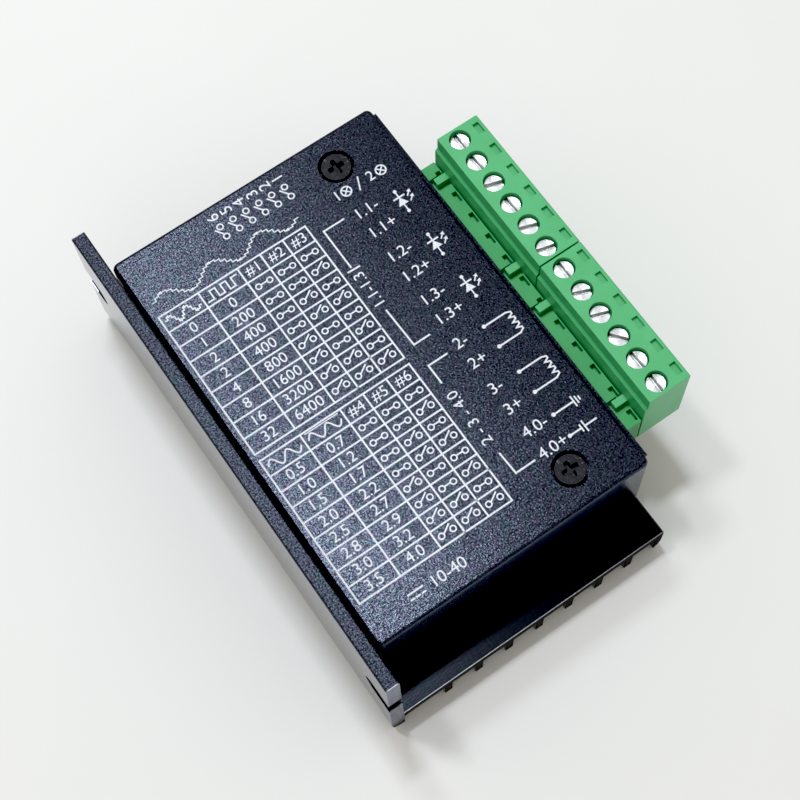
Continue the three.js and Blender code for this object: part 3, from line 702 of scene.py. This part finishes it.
def supply_marks(ink, ground_y, positive_y):
    ink.dot((SUPPLY_X_MM, ground_y), 0.38)
    ink.line((SUPPLY_X_MM, ground_y), (50.8, ground_y))
    for x, half in ((50.8, 0.95), (51.4, 0.6), (51.95, 0.28)):
        ink.line((x, ground_y - half), (x, ground_y + half), 0.28)
    ink.dot((SUPPLY_X_MM, positive_y), 0.38)
    ink.line((SUPPLY_X_MM, positive_y), (49.0, positive_y))
    ink.line((49.0, positive_y - 0.6), (49.0, positive_y + 0.6), 0.28)
    ink.line((49.7, positive_y - 1.0), (49.7, positive_y + 1.0), 0.28)
    ink.line((49.7, positive_y), (52.0, positive_y))


def lamp_marks(ink, numerals):
    """Two lamp signs with a stroke between them, beside the light windows."""
    y = LAMP_Y_MM
    reach = 0.62
    for x in (41.9, 49.3):
        ink.ring((x, y), 0.95, 0.28)
        ink.line((x - reach, y - reach), (x + reach, y + reach), 0.24, 0.0)
        ink.line((x - reach, y + reach), (x + reach, y - reach), 0.24, 0.0)
    ink.line((44.1, 70.0), (45.1, 72.4), 0.26)
    numerals.text("1", (40.0, y), 2.0)
    numerals.text("2", (47.1, y), 2.0)


def group_brackets(ink, numerals):
    ink.path([(38.4, 66.9), (34.2, 66.9), (34.2, 58.4)])
    ink.line((33.3, 57.8), (35.5, 57.7))
    ink.path([(34.6, 48.0), (34.8, 40.0), (38.0, 40.0)])
    numerals.text("1.1-1.3", (34.5, 53.0), 2.0, 90)
    ink.path([(38.4, 35.4), (34.6, 35.4), (34.6, 31.6)])
    ink.path([(35.2, 15.6), (35.4, 11.3), (39.2, 11.3)])
    numerals.text("2 - 3 - 4.0", (34.9, 23.7), 2.0, 90)


def switch_labels(ink, numerals):
    for i in range(SWITCHES):
        x = FIRST_SWITCH_X_MM - SWITCH_PITCH_MM * i
        contact(ink, (x, SWITCH_CONTACT_Y_MM), False, 90, 1.1, 0.55)
        numerals.text(str(i + 1), (x, SWITCH_NUMBER_Y_MM), 2.2, 90)


def direct_voltage(ink, numerals):
    ink.line((8.9, 4.5), (11.7, 4.5), 0.3)
    for x in (8.9, 10.0, 11.1):
        ink.line((x, 3.5), (x + 0.6, 3.5), 0.3)
    numerals.text("10-40", (13.0, 3.95), 2.1, 0, 1.0, left=True)


def make_printing():
    lines, numerals, signs = Print("print_lines"), Print("print_numerals"), Print("print_signs")
    table_grid(lines, *FIRST_TABLE_MM)
    table_grid(lines, *SECOND_TABLE_MM)
    counts = [[not (row >> 2 & 1), not (row >> 1 & 1), not (row & 1)] for row in range(8)]
    table_cells(numerals, signs, *FIRST_TABLE_MM, STEP_ROWS, PULSE_ROWS, "123", counts)
    table_cells(numerals, signs, *SECOND_TABLE_MM, AMPERE_ROWS, PEAK_ROWS, "456", counts)
    header_signs(signs)
    stepped_wave(signs, 2.2, 32.0, TITLE_Y_MM, 1.35, 3, 12, 0.2)
    switch_labels(signs, numerals)
    lamp_marks(signs, numerals)
    group_brackets(lines, numerals)
    for mark, y in zip(TERMINAL_MARKS, TERMINAL_ROWS_MM):
        numerals.text(mark, (MARK_X_MM, y), 2.1, 0, 1.05, left=True)
    for pair in range(3):
        diode_mark(signs, DIODE_X_MM, TERMINAL_ROWS_MM[2 * pair], TERMINAL_ROWS_MM[2 * pair + 1])
    coil_mark(signs, COIL_X_MM, TERMINAL_ROWS_MM[6], TERMINAL_ROWS_MM[7], 4.5)
    coil_mark(signs, COIL_X_MM, TERMINAL_ROWS_MM[8], TERMINAL_ROWS_MM[9], 4.6)
    supply_marks(signs, TERMINAL_ROWS_MM[10], TERMINAL_ROWS_MM[11])
    direct_voltage(signs, numerals)
    for ink in (lines, numerals, signs):
        ink.place()


# ------------------------------------------------------------------ stage, lights, camera

FLOOR_HALF_M = 1.6
STUDIO_TINT = rgb(1.0, 0.965, 0.90)
STUDIO_STRENGTH = 0.57
BOX_TINT = (0.86, 0.93, 1.0)


def make_floor():
    made = Shader("floor_white")
    mottle = made.noise(60.0, 2.0, 0.5)
    made.set(Base_Color=made.mix(mottle, rgb(0.80, 0.80, 0.79), rgb(0.84, 0.84, 0.83)), Roughness=0.6,
             Normal=made.bump(made.noise(0.6, 2.0, 0.5), 0.01))
    mesh = bpy.data.meshes.new("floor")
    half = FLOOR_HALF_M
    corners = [(-half, -half, 0), (half, -half, 0), (half, half, 0), (-half, half, 0)]
    mesh.from_pydata(corners, [], [(0, 1, 2, 3)])
    mesh.materials.append(made.material)
    floor = bpy.data.objects.new("floor", mesh)
    bpy.context.scene.collection.objects.link(floor)


def area_light(name, place, target, size, power, tint=(1.0, 1.0, 1.0)):
    lamp = bpy.data.lights.new(name, "AREA")
    lamp.shape = "RECTANGLE"
    lamp.size, lamp.size_y = size
    lamp.energy = power
    lamp.color = tint
    light = bpy.data.objects.new(name, lamp)
    bpy.context.scene.collection.objects.link(light)
    light.location = place
    light.rotation_euler = (Vector(target) - Vector(place)).to_track_quat("-Z", "Y").to_euler()


def make_lights():
    world = bpy.data.worlds.new("studio")
    bpy.context.scene.world = world
    world.use_nodes = True
    background = world.node_tree.nodes["Background"]
    background.inputs["Color"].default_value = STUDIO_TINT
    background.inputs["Strength"].default_value = STUDIO_STRENGTH
    area_light("key", (-0.22, 0.29, 1.0), (0, 0, 0), (0.10, 0.10), 2.0, (0.94, 0.97, 1.0))
    area_light("near_box", (0.045, 0.215, 1.0), (0.045, 0.215, 0), (0.12, 0.06), 2.5, BOX_TINT)
    area_light("far_box", (0.045, 0.53, 1.0), (0.045, 0.53, 0), (0.18, 0.13), 2.5, BOX_TINT)


BLACK_LEVEL = 0.017


def set_tone():
    """Plain display transform with the blacks set a little deeper."""
    view = bpy.context.scene.view_settings
    view.view_transform = "Standard"
    view.use_curve_mapping = True
    view.curve_mapping.black_level = (BLACK_LEVEL, BLACK_LEVEL, BLACK_LEVEL)
    view.curve_mapping.update()


CAMERA_TARGET_MM = (-5.05, -7.53, 27.6)
CAMERA_DISTANCE_MM = 282.1
CAMERA_AZIMUTH = -30.42
CAMERA_ELEVATION = 68.92
CAMERA_ROLL = -4.58
CAMERA_LENS_MM = 75.23


def make_camera():
    data = bpy.data.cameras.new("camera")
    data.lens = CAMERA_LENS_MM
    data.sensor_width = 36.0
    data.clip_start = 0.01
    camera = bpy.data.objects.new("camera", data)
    bpy.context.scene.collection.objects.link(camera)
    a, e = math.radians(CAMERA_AZIMUTH), math.radians(CAMERA_ELEVATION)
    back = Vector((math.sin(a) * math.cos(e), -math.cos(a) * math.cos(e), math.sin(e)))
    turn = (-back).to_track_quat("-Z", "Y").to_matrix().to_4x4()
    place = Matrix.Translation(Vector(CAMERA_TARGET_MM) * MM + back * CAMERA_DISTANCE_MM * MM)
    camera.matrix_world = place @ turn @ Matrix.Rotation(math.radians(CAMERA_ROLL), 4, "Z")
    bpy.context.scene.camera = camera


make_camera()
make_housing()
make_electronics()
make_moving_pieces()
make_header_pins()
make_printing()
make_floor()
make_lights()
set_tone()
